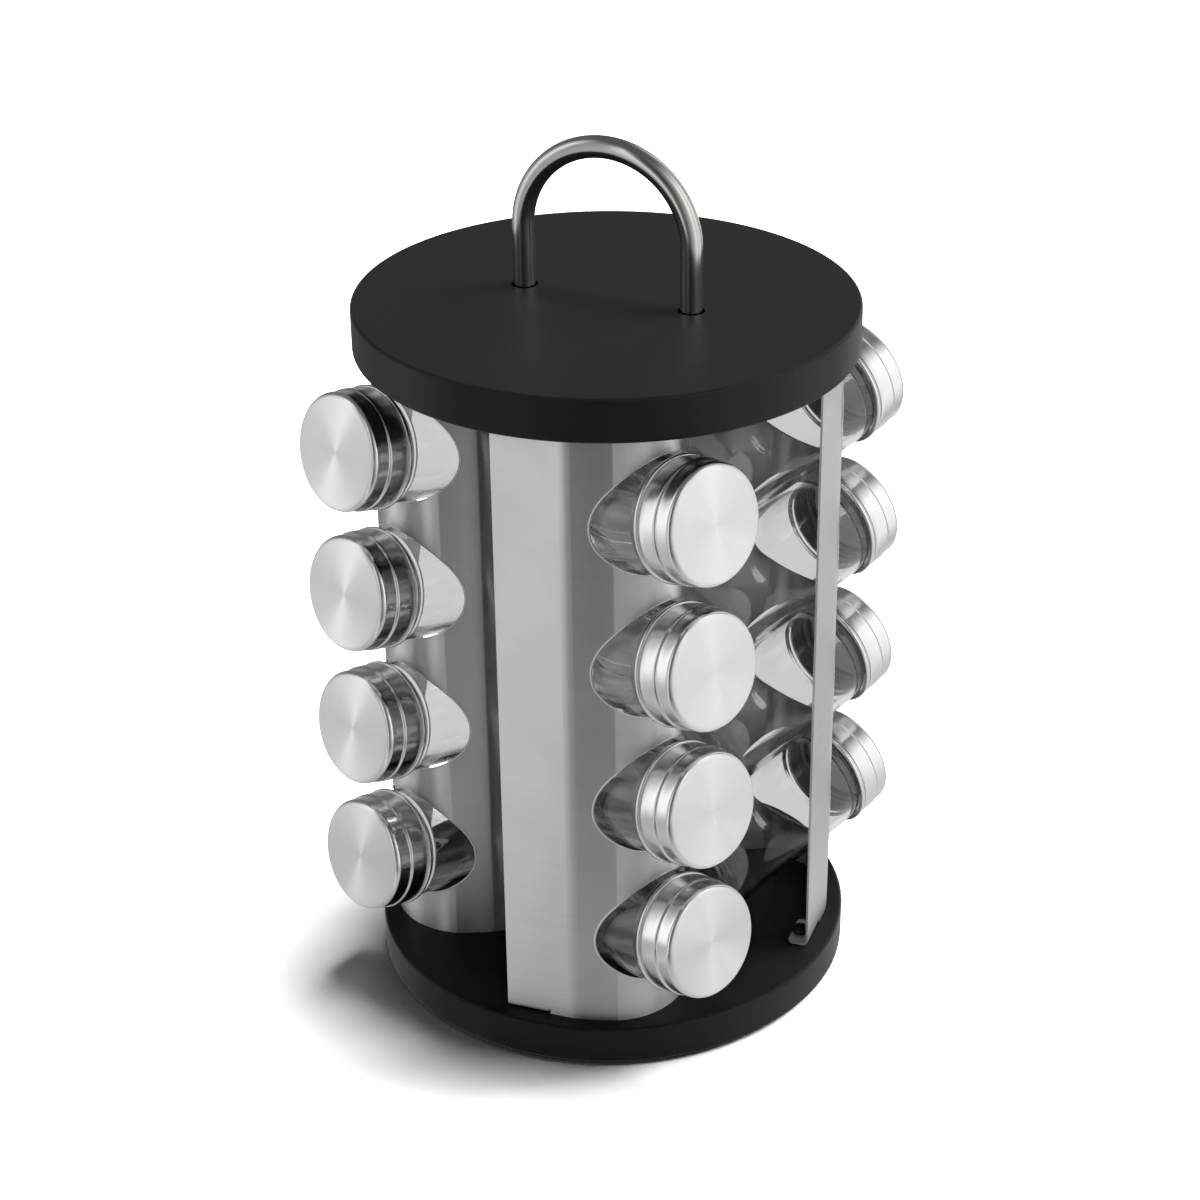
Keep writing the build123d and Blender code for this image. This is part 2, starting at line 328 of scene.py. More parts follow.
@dataclass(frozen=True)
class BrushedSteel:
    """Stainless steel with the lines of a brush, a lathe or a die, their fineness and length as counts per metre."""

    name: str
    path: BrushPath
    dark: Colour
    light: Colour
    smooth: float
    rough: float
    fineness: float
    length: float
    anisotropy: float
    depth: float
    line_share: float = 0.45
    band_share: float = 0.55
    tone_ends: tuple[float, float] = (0.15, 0.85)
    haze_scale: float = 38.0
    haze_rough: float = 0.03
    quarter_turn: float = 0.25

    def place(self, tree: Tree) -> bpy.types.NodeSocket:
        """Find where a point lies along and across the lines.

        Args:
            tree: the material's tree.

        Returns:
            A vector socket whose Z runs across the lines.
        """
        coordinates = tree.add("TexCoord")
        if self.path is BrushPath.LEVEL:
            return coordinates.outputs["Object"]
        if self.path is BrushPath.DRAWN:
            turn = tree.add("SeparateXYZ", {0: coordinates.outputs["UV"]})
            return tree.add("CombineXYZ", {0: turn.outputs[0], 2: turn.outputs[1]}).outputs[0]
        spread = tree.vector("MULTIPLY", coordinates.outputs["Object"], (1.0, 1.0, 0.0))
        radius = tree.length(spread)
        height = tree.add("SeparateXYZ", {0: coordinates.outputs["Object"]}).outputs[2]
        heading = tree.add("SeparateXYZ", {0: tree.vector("NORMALIZE", spread)})
        across = tree.math("SUBTRACT", radius, height)
        turned = {0: heading.outputs[0], 1: heading.outputs[1], 2: across}
        return tree.add("CombineXYZ", turned).outputs[0]

    def material(self, effects: Effects) -> bpy.types.Material:
        """Make the material.

        Args:
            effects: the shared node groups.

        Returns:
            The material.
        """
        material, tree, shader = start_material(self.name)
        place = self.place(tree)
        lines = tree.group(effects.brush_lines, Vector=place, Fineness=self.fineness, Length=self.length)
        where = tree.add("TexCoord").outputs["Object"]
        haze = tree.group(effects.handling_haze, Vector=where, Scale=self.haze_scale)
        bands = tree.math("MULTIPLY", lines.outputs["Bands"], self.band_share)
        tone = tree.math("MULTIPLY_ADD", lines.outputs["Lines"], self.line_share, bands)
        rough = tree.between(tone, *self.tone_ends, self.smooth, self.rough)
        rough = tree.math("MULTIPLY_ADD", haze.outputs["Haze"], self.haze_rough, rough)
        bump = tree.add("Bump", {"Strength": 1.0, "Distance": self.depth, "Height": lines.outputs["Lines"]})
        feed(
            tree, shader, Base_Color=tree.blend(tone, opaque(self.dark), opaque(self.light)), Metallic=1.0,
            Roughness=rough, Normal=bump.outputs[0], Anisotropic=self.anisotropy,
        )
        if self.path is BrushPath.LEVEL:
            feed(tree, shader, Tangent=tree.add("CombineXYZ", {2: 1.0}).outputs[0])
        elif self.path is BrushPath.SPUN:
            ring = tree.add("Tangent", direction_type="RADIAL", axis="Z")
            feed(tree, shader, Tangent=ring.outputs[0], Anisotropic_Rotation=self.quarter_turn)
        else:
            drawn = tree.add("Tangent", direction_type="UV_MAP", uv_map="rod")
            feed(tree, shader, Tangent=drawn.outputs[0], Anisotropic_Rotation=self.quarter_turn)
        return material


@dataclass(frozen=True)
class Lacquer:
    """Satin lacquer sprayed on board."""

    name: str
    colour: Colour
    worn: Colour
    smooth: float
    rough: float
    haze_scale: float = 24.0
    film_share: float = 0.35
    fleck_share: float = 0.5
    grain: float = 900.0
    depth: float = 0.00003
    relief: float = 0.25
    shine: float = 0.16

    def material(self, effects: Effects) -> bpy.types.Material:
        """Make the material.

        Args:
            effects: the shared node groups.

        Returns:
            The material.
        """
        material, tree, shader = start_material(self.name)
        where = tree.add("TexCoord").outputs["Object"]
        haze = tree.group(effects.handling_haze, Vector=where, Scale=self.haze_scale)
        skin = tree.group(effects.pebble, Vector=where, Scale=self.grain)
        film = tree.math("MULTIPLY", haze.outputs["Haze"], self.film_share)
        colour = tree.blend(film, opaque(self.colour), opaque(self.worn))
        flecks = tree.math("MULTIPLY", haze.outputs["Flecks"], self.fleck_share)
        colour = tree.blend(flecks, colour, opaque(self.worn))
        bump = tree.add("Bump", {"Strength": self.relief, "Distance": self.depth, "Height": skin.outputs["Height"]})
        feed(
            tree, shader, Base_Color=colour, Normal=bump.outputs[0],
            Roughness=tree.between(haze.outputs["Haze"], 0.0, 1.0, self.smooth, self.rough),
            Specular_IOR_Level=self.shine,
        )
        return material


@dataclass(frozen=True)
class ClearGlass:
    """Pressed clear glass, a little wavy."""

    name: str
    tint: Colour
    wave: float
    wave_scale: float = 60.0
    relief: float = 0.3
    bending: float = 1.5
    haze_scale: float = 45.0
    haze_rough: float = 0.035
    shadow: Colour = (0.95, 0.95, 0.95)

    def material(self, effects: Effects) -> bpy.types.Material:
        """Make the material.

        Args:
            effects: the shared node groups.

        Returns:
            The material.
        """
        material, tree, shader = start_material(self.name)
        where = tree.add("TexCoord").outputs["Object"]
        haze = tree.group(effects.handling_haze, Vector=where, Scale=self.haze_scale)
        sway = tree.add("TexNoise", {"Vector": where, "Scale": self.wave_scale, "Detail": 1.0})
        bump = tree.add("Bump", {"Strength": self.relief, "Distance": self.wave, "Height": sway.outputs[0]})
        feed(
            tree, shader, Base_Color=opaque(self.tint), Transmission_Weight=1.0, IOR=self.bending,
            Normal=bump.outputs[0], Roughness=tree.between(haze.outputs["Haze"], 0.0, 1.0, 0.0, self.haze_rough),
        )
        path = tree.add("LightPath")
        through = tree.add("BsdfTransparent", {0: opaque(self.shadow)})
        both = tree.add("MixShader", {0: path.outputs["Is Shadow Ray"], 1: shader.outputs[0], 2: through.outputs[0]})
        output = next(node for node in material.node_tree.nodes if node.bl_idname == "ShaderNodeOutputMaterial")
        tree.join(both.outputs[0], output.inputs["Surface"])
        return material


@dataclass(frozen=True)
class Moulded:
    """Plastic, rubber or blackened metal with a pebbled skin."""

    name: str
    colour: Colour
    worn: Colour
    smooth: float
    rough: float
    grain: float
    depth: float
    metallic: float = 0.0
    soft: float = 0.0
    soft_depth: float = 0.001
    relief: float = 0.5
    haze_scale: float = 70.0

    def material(self, effects: Effects) -> bpy.types.Material:
        """Make the material.

        Args:
            effects: the shared node groups.

        Returns:
            The material.
        """
        material, tree, shader = start_material(self.name)
        where = tree.add("TexCoord").outputs["Object"]
        haze = tree.group(effects.handling_haze, Vector=where, Scale=self.haze_scale)
        skin = tree.group(effects.pebble, Vector=where, Scale=self.grain)
        bump = tree.add("Bump", {"Strength": self.relief, "Distance": self.depth, "Height": skin.outputs["Height"]})
        feed(
            tree, shader, Base_Color=tree.blend(haze.outputs["Haze"], opaque(self.colour), opaque(self.worn)),
            Normal=bump.outputs[0], Metallic=self.metallic, Subsurface_Weight=self.soft,
            Subsurface_Scale=self.soft_depth,
            Roughness=tree.between(haze.outputs["Haze"], 0.0, 1.0, self.smooth, self.rough),
        )
        return material


# Meshes


@dataclass(frozen=True)
class Corner:
    """A corner of a turned profile, in millimetres, with the radius that rounds it."""

    r: float
    z: float
    rounding: float = 0.0
    steps: int = 6


def outline(corners: Sequence[Corner]) -> list[tuple[float, float]]:
    """Round the corners of a profile.

    Args:
        corners: the corners in order, the first and the last kept as they are.

    Returns:
        Radius and height of each point.
    """
    points = []
    for index, corner in enumerate(corners):
        here = Vector((corner.r, corner.z))
        if corner.rounding == 0 or index in (0, len(corners) - 1):
            points.append(here)
            continue
        back = (Vector((corners[index - 1].r, corners[index - 1].z)) - here).normalized()
        ahead = (Vector((corners[index + 1].r, corners[index + 1].z)) - here).normalized()
        half = back.angle(ahead) / 2
        centre = here + (back + ahead).normalized() * (corner.rounding / sin(half))
        first = here + back * (corner.rounding / tan(half)) - centre
        last = here + ahead * (corner.rounding / tan(half)) - centre
        start = atan2(first.y, first.x)
        sweep = (atan2(last.y, last.x) - start + pi) % (2 * pi) - pi
        for step in range(corner.steps + 1):
            turn = start + sweep * step / corner.steps
            points.append(centre + Vector((cos(turn), sin(turn))) * corner.rounding)
    return [(point.x, point.y) for point in points]


def divided(points: Sequence[tuple[float, float]], longest: float) -> list[tuple[float, float]]:
    """Divide the long runs of a profile.

    Args:
        points: the profile.
        longest: the longest run that is left.

    Returns:
        The profile with points added.
    """
    result = [points[0]]
    for (r0, z0), (r1, z1) in zip(points, points[1:]):
        count = max(1, int(hypot(r1 - r0, z1 - z0) / longest + 0.999))
        result += [(r0 + (r1 - r0) * k / count, z0 + (z1 - z0) * k / count) for k in range(1, count + 1)]
    return result


def thread_ready(corners: Sequence[Corner], radius: float, fine: float, coarse: float) -> list[tuple[float, float]]:
    """Round a profile's corners and divide it, finely where a thread goes.

    Args:
        corners: the profile's corners.
        radius: radius of the stretch that takes the thread.
        fine: the longest run there.
        coarse: the longest run elsewhere.

    Returns:
        The divided profile.
    """
    profile = outline(corners)
    result = []
    for start, end in zip(profile, profile[1:]):
        threaded = abs(start[0] - radius) < SAME and abs(end[0] - radius) < SAME
        result += divided([start, end], fine if threaded else coarse)[:-1]
    return result + [profile[-1]]


@dataclass(frozen=True)
class Thread:
    """Screw thread on a turned profile, in millimetres, with its width as a share of the pitch."""

    pitch: float
    proud: float
    low: float
    high: float
    width: float
    shift: float = 0.0
    runout: float = 1.0

    def rise(self, turn: float, z: float) -> float:
        """Find how far the thread stands off the plain profile.

        Args:
            turn: angle about the axis.
            z: height along the axis.

        Returns:
            The thread's height, which runs out at both ends.
        """
        if not self.low < z < self.high:
            return 0.0
        phase = (z / self.pitch - turn / (2 * pi) + self.shift) % 1.0 - 0.5
        ends = min(z - self.low, self.high - z, self.runout) / self.runout
        return self.proud * ends * exp(-((phase / self.width) ** 2))


Ripple = Callable[[float, float, float], tuple[float, float]]


def turned(name: str, profile: Sequence[tuple[float, float]], segments: int, ripple: Ripple) -> bpy.types.Mesh:
    """Turn a profile about Z.

    Args:
        name: the mesh's name.
        profile: radius and height of each point, in millimetres.
        segments: points around the axis.
        ripple: moves a point in radius and height by its turn.

    Returns:
        The mesh, smooth and closed where the profile ends on the axis or at its own start.
    """
    mesh = bmesh.new()
    rings = []
    for r, z in profile:
        if r < SAME:
            rings.append([mesh.verts.new((0.0, 0.0, z * MM))])
            continue
        ring = []
        for step in range(segments):
            turn = 2 * pi * step / segments
            radius, height = ripple(turn, r, z)
            ring.append(mesh.verts.new((radius * cos(turn) * MM, radius * sin(turn) * MM, height * MM)))
        rings.append(ring)
    for low, high in zip(rings, rings[1:]):
        for step in range(segments):
            after = (step + 1) % segments
            if len(low) == 1 and len(high) > 1:
                mesh.faces.new((low[0], high[after], high[step]))
            elif len(high) == 1 and len(low) > 1:
                mesh.faces.new((low[step], low[after], high[0]))
            elif len(low) > 1:
                mesh.faces.new((low[step], low[after], high[after], high[step]))
    return settled(mesh, name)


def settled(mesh: bmesh.types.BMesh, name: str) -> bpy.types.Mesh:
    """Turn a working mesh into a smooth mesh with its faces outward.

    Args:
        mesh: the working mesh, freed here.
        name: the new mesh's name.

    Returns:
        The mesh.
    """
    bmesh.ops.recalc_face_normals(mesh, faces=mesh.faces)
    for face in mesh.faces:
        face.smooth = True
    data = bpy.data.meshes.new(name)
    mesh.to_mesh(data)
    mesh.free()
    return data


def stand(name: str, data: bpy.types.ID, place: Matrix) -> bpy.types.Object:
    """Stand an object in the scene.

    Args:
        name: the object's name.
        data: its mesh, lamp or camera.
        place: where it goes.

    Returns:
        The new object.
    """
    item = bpy.data.objects.new(name, data)
    bpy.context.scene.collection.objects.link(item)
    item.matrix_world = place
    return item


def put(name: str, mesh: bpy.types.Mesh, place: Matrix, body: str, nodes: Iterable[str] = ()) -> None:
    """Put a piece of the carousel in the scene.

    Args:
        name: the piece's name.
        mesh: its mesh, which other pieces may share.
        place: where it goes.
        body: the CAD body that it rides on.
        nodes: CAD nodes that it stands for.
    """
    piece = stand(name, mesh, place)
    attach(piece, body)
    if nodes:
        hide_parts(*nodes)
    log.info("%s rides on %s", name, body)


def dress(nodes: Iterable[str], material: bpy.types.Material) -> None:
    """Give CAD nodes a finish.

    Args:
        nodes: the nodes' names.
        material: the finish.
    """
    for node in nodes:
        data = frame["nodes"][node].data
        data.materials.clear()
        data.materials.append(material)
        log.info("%s dressed in %s", node, material.name)


def joint_axis(name: str) -> Vector:
    """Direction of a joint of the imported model."""
    return Vector(next(joint["axis"] for joint in frame["joints"] if joint["name"] == name))


def seat(node: str, axis: Vector) -> Matrix:
    """Find where a turned CAD node stands.

    Args:
        node: the node's name.
        axis: direction of its own axis.

    Returns:
        A place with Z along the axis and the origin at the node's lower end.
    """
    along = axis.normalized()
    side = Vector((0.0, 0.0, 1.0)).cross(along).normalized()
    over = side.cross(along)
    points = [vertex.co for vertex in frame["nodes"][node].data.vertices]
    middle = Vector()
    for direction in (side, over):
        reach = [point.dot(direction) for point in points]
        middle += direction * (min(reach) + max(reach)) / 2
    foot = min(point.dot(along) for point in points)
    turn = Matrix((-over, side, along)).transposed()
    return Matrix.Translation(middle + along * foot) @ turn.to_4x4()


# Sub-assemblies


@dataclass
class Jars:
    """Sixteen glass jars, screw-threaded at the neck."""

    radius: float = 20.7
    body: float = 74.0
    wall: float = 2.2
    floor: float = 3.6
    heel: float = 4.0
    punt: float = 1.2
    stand: float = 3.0
    shoulder: float = 1.4
    neck: float = 15.1
    punt_round: float = 1.0
    stand_round: float = 0.6
    lip_round: float = 0.8
    inside_round: float = 1.0
    shy: float = 0.01  # what a full round stays short of its corner
    thread: Thread = Thread(pitch=3.2, proud=0.45, low=4.0, high=11.5, width=0.16, shift=0.5)
    thread_run: float = 0.4
    plain_run: float = 12.0
    segments: int = 96

    def threaded(self, turn: float, r: float, z: float) -> tuple[float, float]:
        """Raise the thread on the outside of the neck.

        Args:
            turn: angle about the axis.
            r: radius of the plain profile.
            z: height.

        Returns:
            The radius with the thread on it, and the height.
        """
        if abs(r - (self.radius - self.shoulder)) > SAME:
            return r, z
        return r + self.thread.rise(turn, z - self.body), z

    def mesh(self) -> bpy.types.Mesh:
        """Turn one jar, standing on its bottom.

        Returns:
            The jar's mesh.
        """
        inside = self.radius - self.wall
        neck = self.radius - self.shoulder
        mouth = neck - self.wall
        top = self.body + self.neck
        foot = self.radius - self.heel
        corners = [
            Corner(0, self.punt),
            Corner(foot - self.stand - self.punt, self.punt, self.punt_round),
            Corner(foot - self.stand, 0, self.stand_round),
            Corner(foot, 0),
            Corner(self.radius, 0, self.heel - self.shy, 10),
            Corner(self.radius, self.body, self.shoulder - self.shy, 5),
            Corner(neck, self.body),
            Corner(neck, top, self.lip_round),
            Corner(mouth, top, self.lip_round),
            Corner(mouth, self.body - self.wall, self.inside_round),
            Corner(inside, self.body - self.wall - self.shoulder, self.inside_round),
            Corner(inside, self.floor, self.heel, 8),
            Corner(0, self.floor),
        ]
        profile = thread_ready(corners, neck, self.thread_run, self.plain_run)
        return turned("glass_jar", profile, self.segments, self.threaded)

    def build(self, glass: bpy.types.Material) -> None:
        """Put a jar in each seat.

        Args:
            glass: the jars' finish.
        """
        mesh = self.mesh()
        mesh.materials.append(glass)
        for jar in JARS:
            node = f"jar_{jar}"
            put(f"glass_{jar}", mesh, seat(node, joint_axis(f"jar_{jar}_pull")), node, [node])


@dataclass
class Caps:
    """Sixteen spun-steel screw caps, measured from the open rim."""

    bore: float = 20.0
    outside: float = 21.2
    height: float = 16.7
    face: float = 0.85  # leaves a little air over the sifter, which touches the CAD node's thicker face
    bead_h: float = 1.7
    bead_r: float = 22.3
    groove_h: float = 0.8
    skirt_r: float = 21.8
    skirt_h: float = 6.7
    step_h: float = 0.8
    edge: float = 2.2
    inside_round: float = 0.8
    rim_round: float = 0.15
    groove_round: float = 0.12
    skirt_round: float = 0.3
    step_round: float = 0.9
    shy: float = 0.02  # what the bead's round stays short of its middle
    thread: Thread = Thread(pitch=3.2, proud=0.22, low=3.0, high=12.0, width=0.2)
    thread_run: float = 0.5
    plain_run: float = 3.0
    face_slope: float = 0.85
    segments: int = 144

    def threaded(self, turn: float, r: float, z: float) -> tuple[float, float]:
        """Press the thread into the bore.

        Args:
            turn: angle about the axis.
            r: radius of the plain profile.
            z: height over the open rim.

        Returns:
            The radius with the thread in it, and the height.
        """
        if abs(r - self.bore) > SAME:
            return r, z
        return r - self.thread.rise(turn, z), z

    def mesh(self) -> bpy.types.Mesh:
        """Turn one cap, its open rim down.

        Returns:
            The cap's mesh.
        """
        groove = self.bead_h + self.groove_h
        step = groove + self.skirt_h
        bead_round = self.bead_h / 2 - self.shy
        corners = [
            Corner(0, self.height - self.face),
            Corner(self.bore, self.height - self.face, self.inside_round),
            Corner(self.bore, 0, self.rim_round, 3),
            Corner(self.bead_r, 0, bead_round, 8),
            Corner(self.bead_r, self.bead_h, bead_round, 8),
            Corner(self.outside, self.bead_h, self.groove_round, 3),
            Corner(self.outside, groove, self.groove_round, 3),
            Corner(self.skirt_r, groove, self.skirt_round, 4),
            Corner(self.skirt_r, step, self.step_round, 5),
            Corner(self.outside, step + self.step_h, self.step_round, 5),
            Corner(self.outside, self.height, self.edge, 12),
            Corner(0, self.height),
        ]
        profile = thread_ready(corners, self.bore, self.thread_run, self.plain_run)
        return turned("steel_cap", profile, self.segments, self.threaded)

    def build(self, spun: bpy.types.Material, polished: bpy.types.Material) -> None:
        """Screw a cap on each jar.

        Args:
            spun: the finish of the faces.
            polished: the finish of the sides.
        """
        mesh = self.mesh()
        mesh.materials.append(spun)
        mesh.materials.append(polished)
        for face in mesh.polygons:
            face.material_index = int(face.normal.z < self.face_slope)
        for jar in JARS:
            node = f"cap_{jar}"
            put(f"steel_{node}", mesh, seat(node, joint_axis(f"cap_{jar}_lift")), node, [node])


@dataclass
class Panels:
    """Rolled lips of the four bowed panels' holes, one loop to each hole, around the sheet's own edge."""

    tilt: float = 11.0
    offset: float = 39.6
    crown: float = 68.798
    crown_r: float = 28.0
    crown_sweep: float = 38.2
    crease_r: float = 3.0
    crease_turn: float = 7.0
    side_r: float = 100.0
    side_sweep: float = 8.0
    sheet: float = 0.8
    hole_wide: float = 23.0
    hole_high: float = 21.5
    hole_lift: float = 0.509
    base_top: float = 16.6
    low_margin: float = 37.0
    pitch: float = 55.6
    lip_r: float = 0.3
    lip_out: float = 0.12
    around: int = 160
    sides: int = 12

    def section(self, reach: float) -> tuple[float, Vector]:
        """Find a point of the panel's section, along the middle of the sheet.

        Args:
            reach: distance from the panel's middle line, measured across the column.

        Returns:
            How far out the point lies, and the outward direction there.
        """
        side = abs(reach)
        turn = 0.0
        out, across = self.crown - self.sheet / 2, 0.0
        for radius, sweep in (
            (self.crown_r, self.crown_sweep),
            (self.crease_r, self.crease_turn),
            (self.side_r, self.side_sweep),
        ):
            end = turn + radians(sweep)
            reached = across + radius * (sin(end) - sin(turn))
            if side <= reached or sweep == self.side_sweep:
                here = asin(min(1.0, sin(turn) + (side - across) / radius))
                out -= radius * (cos(turn) - cos(here))
                turn = here
                break
            out -= radius * (cos(turn) - cos(end))
            across, turn = reached, end
        return out, Vector((cos(turn), sin(turn) if reach >= 0 else -sin(turn), 0.0))

    def lip(self, mesh: bmesh.types.BMesh, height: float) -> None:
        """Lay one lip around a hole.

        Args:
            mesh: the working mesh.
            height: height of the hole's middle on the crown.
        """
        rings = []
        rise = tan(radians(self.tilt))
        for step in range(self.around):
            turn = 2 * pi * step / self.around
            across = (self.hole_wide + self.lip_out) * cos(turn)
            out, outward = self.section(across)
            middle = height + (out - self.crown) * rise
            up = (self.hole_high + self.lip_out) * sin(turn) / cos(radians(self.tilt))
            centre = Vector((out, across - self.offset, middle + up)) + outward * (self.sheet / 2 - self.lip_r / 2)
            away = Vector((0.0, cos(turn), sin(turn)))
            away = (away - outward * away.dot(outward)).normalized()
            ring = []
            for part in range(self.sides):
                angle = 2 * pi * part / self.sides
                spot = centre + (outward * cos(angle) + away * sin(angle)) * self.lip_r
                ring.append(mesh.verts.new(spot * MM))
            rings.append(ring)
        for index, ring in enumerate(rings):
            after = rings[(index + 1) % self.around]
            for part in range(self.sides):
                beside = (part + 1) % self.sides
                mesh.faces.new((ring[part], ring[beside], after[beside], after[part]))

    def build(self, steel: bpy.types.Material, lip_steel: bpy.types.Material) -> None:
        """Dress the panels and roll the lips of their holes.

        Args:
            steel: the panels' finish.
            lip_steel: the lips' finish.
        """
        dress([f"panel_{letter}" for letter in COLUMNS], steel)
        work = bmesh.new()
        for row in ROWS:
            self.lip(work, self.base_top + self.low_margin + self.pitch * (ROWS[-1] - row) + self.hole_lift)
        mesh = settled(work, "hole_lips")
        mesh.materials.append(lip_steel)
        for column, letter in enumerate(COLUMNS):
            put(f"lips_{letter}", mesh, Matrix.Rotation(column * pi / 2, 4, "Z"), "carousel")


@dataclass
class Handle:
    """Carrying handle of bent rod."""

    rod: float = 8.0
    span: float = 64.6
    turn: float = 22.0
    foot: float = 255.6
    leg_top: float = 291.2
    end_round: float = 0.6
    bend_steps: int = 72
    leg_steps: int = 10
    around: int = 40

    def path(self) -> list[tuple[Vector, Vector]]:
        """Follow the rod from one end to the other.

        Returns:
            Points and directions along the rod's middle, in the handle's own plane.
        """
        half = self.span / 2
        rise = self.leg_top - self.foot
        up, down = Vector((0, 0, 1)), Vector((0, 0, -1))
        steps = range(self.leg_steps)
        points = [(Vector((-half, 0, self.foot + rise * k / self.leg_steps)), up) for k in steps]
        for step in range(self.bend_steps + 1):
            angle = pi - pi * step / self.bend_steps
            spot = Vector((half * cos(angle), 0, self.leg_top + half * sin(angle)))
            points.append((spot, Vector((sin(angle), 0, -cos(angle)))))
        points += [(Vector((half, 0, self.leg_top - rise * (k + 1) / self.leg_steps)), down) for k in steps]
        return points

    def build(self, steel: bpy.types.Material) -> None:
        """Bend the rod.

        Args:
            steel: the rod's finish.
        """
        work = bmesh.new()
        uv = work.loops.layers.uv.new("rod")
        side = Vector((0, 1, 0))
        points = self.path()
        stations = [(points[0][0], points[0][1], self.rod / 2 - self.end_round, 0.0)]
        run = 0.0
        for index, (spot, ahead) in enumerate(points):
            run += (spot - points[index - 1][0]).length if index else 0.0
            inset = self.end_round if index == 0 else -self.end_round if index == len(points) - 1 else 0.0
            stations.append((spot + ahead * inset, ahead, self.rod / 2, run))
        stations.append((points[-1][0], points[-1][1], self.rod / 2 - self.end_round, run))
        rings = []
        for spot, ahead, radius, length in stations:
            inward = side.cross(ahead)
            ring = []
            for part in range(self.around):
                angle = 2 * pi * part / self.around
                ring.append(work.verts.new((spot + (inward * cos(angle) + side * sin(angle)) * radius) * MM))
            rings.append((ring, length))
        rim = pi * self.rod * MM / self.around
        for (low, start), (high, end) in zip(rings, rings[1:]):
            for part in range(self.around):
                beside = (part + 1) % self.around
                face = work.faces.new((low[part], low[beside], high[beside], high[part]))
                marks = ((start, part), (start, part + 1), (end, part + 1), (end, part))
                for loop, (length, count) in zip(face.loops, marks):
                    loop[uv].uv = (length * MM, count * rim)
        work.faces.new(rings[0][0][::-1])
        work.faces.new(rings[-1][0])
        mesh = settled(work, "bent_rod")
        mesh.materials.append(steel)
        place = Matrix.Rotation(radians(self.turn), 4, "Z")
        put("carrying_handle", mesh, place, "carousel", ["handle"])


@dataclass
class Screws:
    """Pan-head screws with a cross recess, all of one kind."""

    head_r: float = 3.2
    head_h: float = 2.2
    head_round: float = 1.2
    shank_r: float = 1.5
    length: float = 8.0
    slot_w: float = 0.42
    slot_l: float = 1.7
    slot_deep: float = 1.1
    slot_wall: float = 0.16
    slot_end: float = 0.5
    slot_clear: float = 0.4
    head_band: float = 0.5
    tip_r: float = 0.5
    tip_h: float = 1.6
    tip_round: float = 0.3
    edge: float = 0.1
    rim_round: float = 0.15
    middle_r: float = 0.12
    run: float = 0.16
    cluster_r: float = 7.0  # points nearer than this, and than the next value in height, belong to one screw
    cluster_h: float = 12.0
    rim_band: float = 0.05
    turn_step: float = 17.0
    segments: int = 72

    def recess(self, turn: float, r: float, z: float) -> tuple[float, float]:
        """Sink the cross into the top of the head.

        Args:
            turn: angle about the axis.
            r: radius.
            z: height of the plain head.

        Returns:
            The radius, and the height with the cross sunk into it.
        """
        if z < self.head_h - self.head_band or r > self.slot_l + self.slot_clear:
            return r, z
        x, y = abs(r * cos(turn)), abs(r * sin(turn))
        wide, narrow = max(x, y), min(x, y)
        within = min((self.slot_w - narrow) / self.slot_wall, (self.slot_l - wide) / self.slot_end)
        return r, z - self.slot_deep * min(1.0, max(0.0, within + 0.5))

    def mesh(self) -> bpy.types.Mesh:
        """Turn one screw, its head up and the underside of the head at the origin.

        Returns:
            The screw's mesh.
        """
        corners = [
            Corner(0, -self.length),
            Corner(self.tip_r, -self.length, self.edge, 2),
            Corner(self.shank_r, -self.length + self.tip_h, self.tip_round, 3),
            Corner(self.shank_r, 0, self.edge, 2),
            Corner(self.head_r, 0, self.rim_round, 3),
            Corner(self.head_r, self.head_h, self.head_round, 8),
            Corner(self.middle_r, self.head_h),
            Corner(0, self.head_h - self.slot_deep),
        ]
        profile = outline(corners)
        head = divided(profile[:-1], self.run)
        return turned("cross_screw", head + [profile[-1]], self.segments, self.recess)

    def places(self) -> list[Matrix]:
        """Find the screws of the CAD node.

        Returns:
            A place for each screw.
        """
        clusters: list[list[Vector]] = []
        for vertex in frame["nodes"]["screws"].data.vertices:
            spot = vertex.co / MM
            for cluster in clusters:
                apart = spot - cluster[0]
                if hypot(apart.x, apart.y) < self.cluster_r and abs(apart.z) < self.cluster_h:
                    cluster.append(spot)
                    break
            else:
                clusters.append([spot])
        found = []
        inner = self.head_r - self.rim_band
        for cluster in clusters:
            low = Vector(min(spot[k] for spot in cluster) for k in range(3))
            high = Vector(max(spot[k] for spot in cluster) for k in range(3))
            middle = (low + high) / 2
            rim = [spot.z for spot in cluster if hypot(spot.x - middle.x, spot.y - middle.y) > inner]
            upright = sum(rim) / len(rim) > middle.z
            seat_z = high.z - self.head_h if upright else low.z + self.head_h
            spin = Matrix.Rotation(radians(self.turn_step * len(found)), 4, "Z")
            flip = Matrix.Identity(4) if upright else Matrix.Rotation(pi, 4, "X")
            found.append(Matrix.Translation(Vector((middle.x, middle.y, seat_z)) * MM) @ flip @ spin)
        return found

    def build(self, finish: bpy.types.Material) -> None:
        """Drive all the screws.

        Args:
            finish: the screws' finish.
        """
        one = self.mesh()
        work = bmesh.new()
        places = self.places()
        for place in places:
            count = len(work.verts)
            work.from_mesh(one)
            bmesh.ops.transform(work, matrix=place, verts=list(work.verts)[count:])
        mesh = settled(work, "cross_screws")
        mesh.materials.append(finish)
        put("cross_screws", mesh, Matrix.Identity(4), "carousel", ["screws"])
        log.info("%d screws", len(places))


